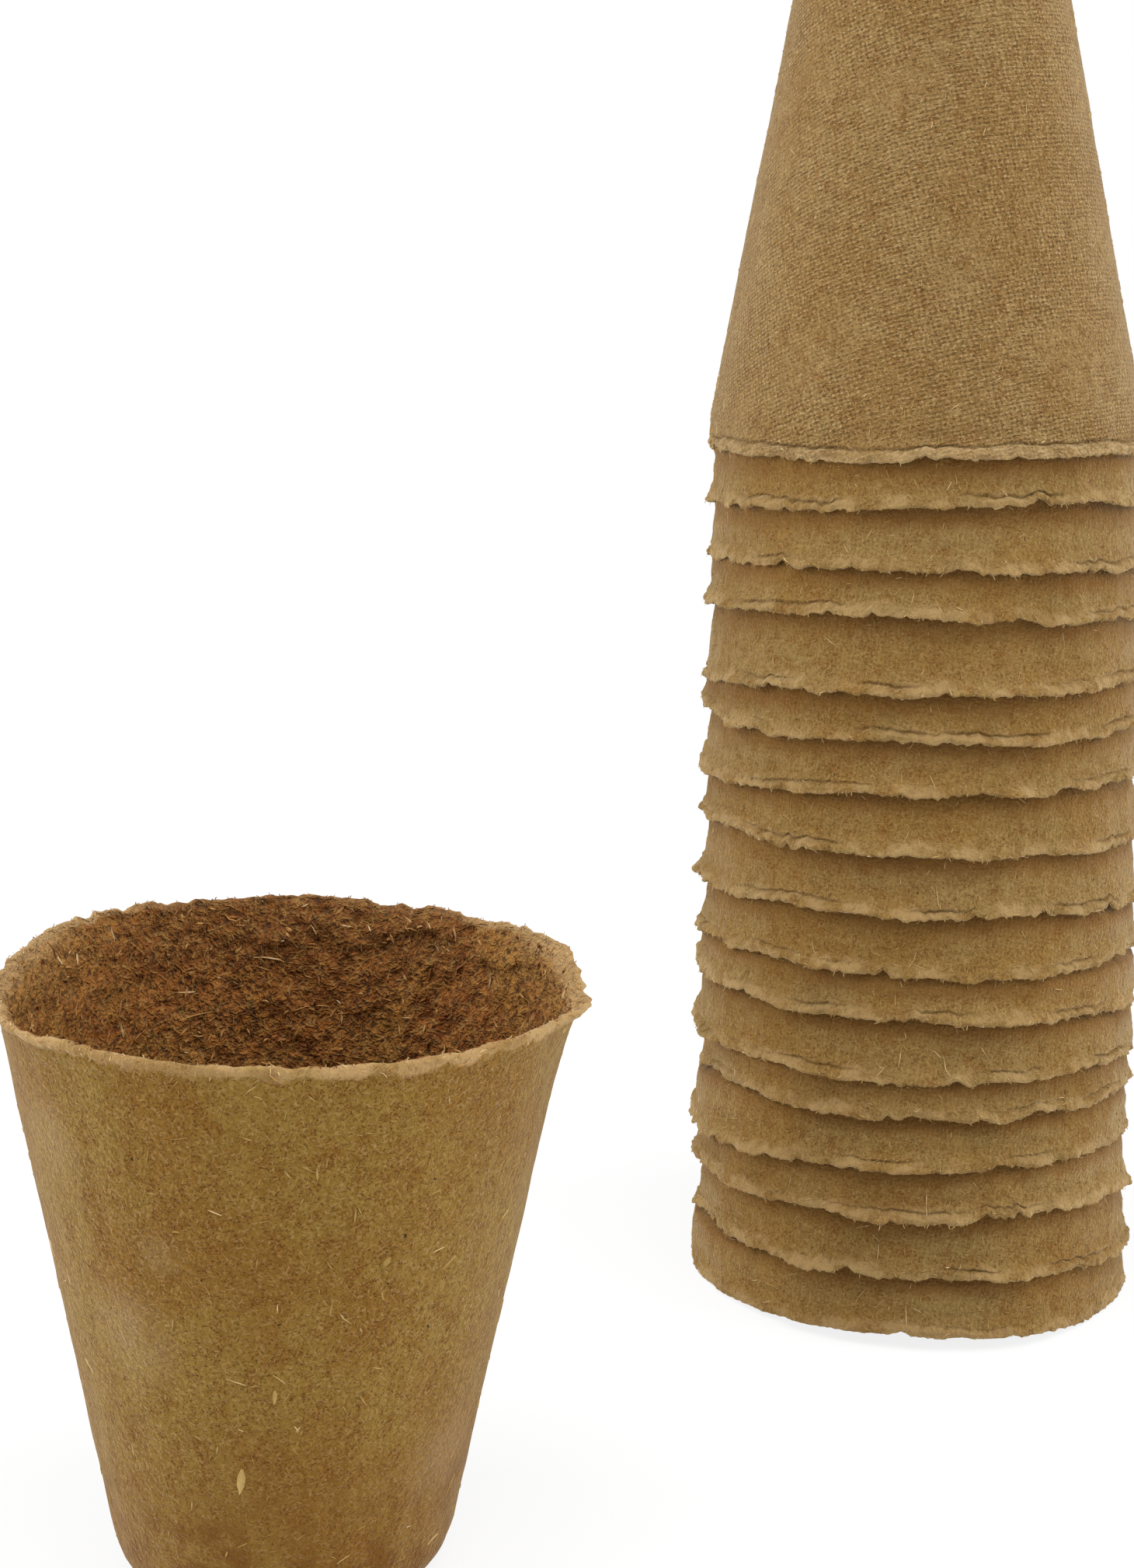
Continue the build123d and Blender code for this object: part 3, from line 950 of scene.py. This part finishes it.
def make_nested(index):
    """One pot of the stack: its own frame is turned over about X."""
    body = "stack_pot_%02d" % (index + 1)
    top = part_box(body)[1].z / MM
    last = index == STACK_COUNT - 1
    rng = np.random.default_rng(500 + index)
    flaps = []
    for _ in range(8):
        flaps.append((rng.uniform(-180, 180), rng.uniform(3, 7), rng.uniform(0.3, 1.0)))
    look = dict(
        tear=0.8, calm=0.0, sway=0.7, notches=12, flaps=flaps,
        wave=0.8, reach=2.5, curl=0.50, nip=0.20, thin=0.15, feather=0.6, hollow=0.60,
        crease=0.8, crease_at=1.25, crease_run=0.35,
        lump=0.48, flute=0.08, crumb=0.6, press=0.6, dents=[],
        shag=0.05, in_shift=0.12, folds=[], lean=(0.0, 0.0))
    if index == 0:
        look.update(tear=0.45, sway=0.0, notches=4, flaps=[], wave=0.3, curl=0.1, crease=0.3)
    if last:
        look.update(lump=0.20, sway=0.3, crease=0.8, crease_at=1.8, crease_run=0.9, press=0.0)
    cols = 600
    step_wall = 1.2 if last else 6.0
    rows = section(rim_zone=14.0, step_edge=0.22, step_rim=0.6, step_wall=step_wall, step_inner=8.0)
    front = -front_of(STACK_AT)
    theta = round_angles(cols)
    rise = stack_rise(index, theta, front)
    cover = NOT_CAPPED
    if not last:
        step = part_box("stack_pot_%02d" % (index + 2))[1].z / MM - top
        cover = step - stack_rise(index + 1, theta, front) + 0.5 * rise
    flare = stack_sides(STACK_FLARES, index, theta, front)
    bulge = stack_sides(STACK_BULGES, index, theta, front)
    pos = pot_grid(cols, rows, front, rise, flare, bulge, cover, 1000 + 37 * index, look)
    if index == 0:
        pos[:, :, 2] = np.minimum(pos[:, :, 2], POT_H)

    def place(points):
        level = top - points[:, 2]
        across = points[:, 0] + STACK_AT[0] + STACK_LEAN * level
        return np.stack([across, STACK_AT[1] - points[:, 1], level], 1)

    pot = pot_mesh(body + "_pulp", pos, rows, front, place, cover)
    wall = rows_between(rows, (OUTER,), 5 if last else POT_H - 12, POT_H - 0.8)
    rim = rows_between(rows, (OUTER, LIP), POT_H - 1.0, POT_H + 1)
    edge = lip_row(rows, LIP_CREST - 1)
    many = 700 if last else 190
    groups = [
        (DULL, slivers(pos, rng, many * 2, wall, (0.8, 2.4), (0.10, 0.20), 0.02, 0.3, 0.2)),
        (HAIR, slivers(pos, rng, many // 3, wall, (1.6, 3.4), (0.10, 0.20), 0.03, 0.2, 0.05)),
        (BROWN, slivers(pos, rng, many // 6, wall, (0.4, 0.9), (0.15, 0.30), 0.02)),
        (HAIR, slivers(pos, rng, 60, rim, (0.8, 1.8), (0.08, 0.15), 0.2, 0.2)),
        (DULL, slivers(pos, rng, 110, rim, (0.7, 1.6), (0.12, 0.24), 0.2, 0.2)),
    ]
    if index > 0:
        groups.append((HAIR, fringe(pos, rng, 30, edge, (0.3, 1.1), (0.06, 0.12))))
        groups.append((DULL, fringe(pos, rng, 110, edge, (0.2, 0.7), (0.08, 0.18))))
    straws = straw_object(body + "_straw", groups, place)
    dress(body, pot, TOP_SKIN if last else STACK_SKINS[index % 2], straws)


make_loose()
for index in range(STACK_COUNT):
    make_nested(index)


# Floor, light and camera. The floor and the lamps are laid out in metres

def seen_directly(paint):
    """1 for rays that show the background itself."""
    path = paint.add("ShaderNodeLightPath")
    seen = paint.math("MAXIMUM", path.outputs["Is Camera Ray"], path.outputs["Is Glossy Ray"])
    return paint.math("MAXIMUM", seen, path.outputs["Is Transmission Ray"])


def make_floor():
    """A white floor that fades into the background, with soft shadows only near the pots."""
    half = 6.0
    corners = [(-half, -half, 0), (half, -half, 0), (half, half, 0), (-half, half, 0)]
    mesh = bpy.data.meshes.new("floor")
    mesh.from_pydata(corners, [], [(0, 1, 2, 3)])
    floor = add_object("floor", mesh)
    floor.location.z = -0.3 * MM
    paint = Paint(bpy.data.materials.new("floor_white"))
    away = paint.add("ShaderNodeVectorMath", operation="LENGTH")
    paint.put(away.inputs[0], paint.add("ShaderNodeTexCoord").outputs["Object"])
    plain = paint.add("ShaderNodeBsdfDiffuse")
    paint.fill(plain, {"Color": (0.85, 0.85, 0.85)})
    white = paint.add("ShaderNodeEmission")
    paint.fill(white, {"Color": (1.0, 1.0, 1.0), "Strength": 1.0})
    seen = seen_directly(paint)
    glow = paint.ramp(away.outputs["Value"], 0.12, 0.45, 0.84, 1.0)
    paint.blend(paint.times(seen, glow), plain, white, "ShaderNodeOutputMaterial")
    mesh.materials.append(paint.owner)


def make_world():
    """Even white light from all round, and a plain white background."""
    world = bpy.data.worlds.new("tent")
    bpy.context.scene.world = world
    paint = Paint(world)
    tent = paint.add("ShaderNodeBackground")
    paint.fill(tent, {"Color": (1.0, 1.0, 1.0), "Strength": 0.42})
    white = paint.add("ShaderNodeBackground")
    paint.fill(white, {"Color": (1.0, 1.0, 1.0), "Strength": 1.0})
    paint.blend(seen_directly(paint), tent, white, "ShaderNodeOutputWorld")


def lamp(name, at, towards, wide, high, power):
    """A rectangular lamp that faces a point."""
    light = bpy.data.lights.new(name, "AREA")
    light.shape = "RECTANGLE"
    light.size, light.size_y = wide, high
    light.energy = power
    obj = add_object(name, light)
    obj.location = at
    obj.rotation_euler = (Vector(towards) - Vector(at)).to_track_quat("-Z", "Y").to_euler()


def make_camera():
    """The photo's camera, level from side to side and pitched down a little."""
    cam = bpy.data.cameras.new("camera")
    cam.sensor_fit = "AUTO"
    cam.sensor_width = SENSOR
    cam.lens = FOCAL_PX * SENSOR / PHOTO_H_PX
    cam.shift_y = -(PHOTO_H_PX / 2 - CENTRE_Y_PX) / PHOTO_H_PX
    cam.clip_start = 0.01
    cam.clip_end = 50.0
    camera = add_object("camera", cam)
    camera.matrix_world = (Matrix.Translation(Vector(CAM_AT) * MM)
                           @ Matrix.Rotation(math.pi / 2 - CAM_PITCH, 4, "X"))
    bpy.context.scene.camera = camera


make_floor()
make_world()
lamp("side_left", (-1.30, -0.25, 0.62), (0, 0, 0.10), 1.2, 1.3, 21.5)
lamp("side_right", (1.35, -0.30, 0.62), (0, 0, 0.10), 1.2, 1.3, 20.0)
lamp("above", (0.10, -0.50, 1.90), (0, 0, 0.05), 1.8, 1.4, 31.0)
make_camera()
bpy.context.scene.view_settings.view_transform = "Standard"
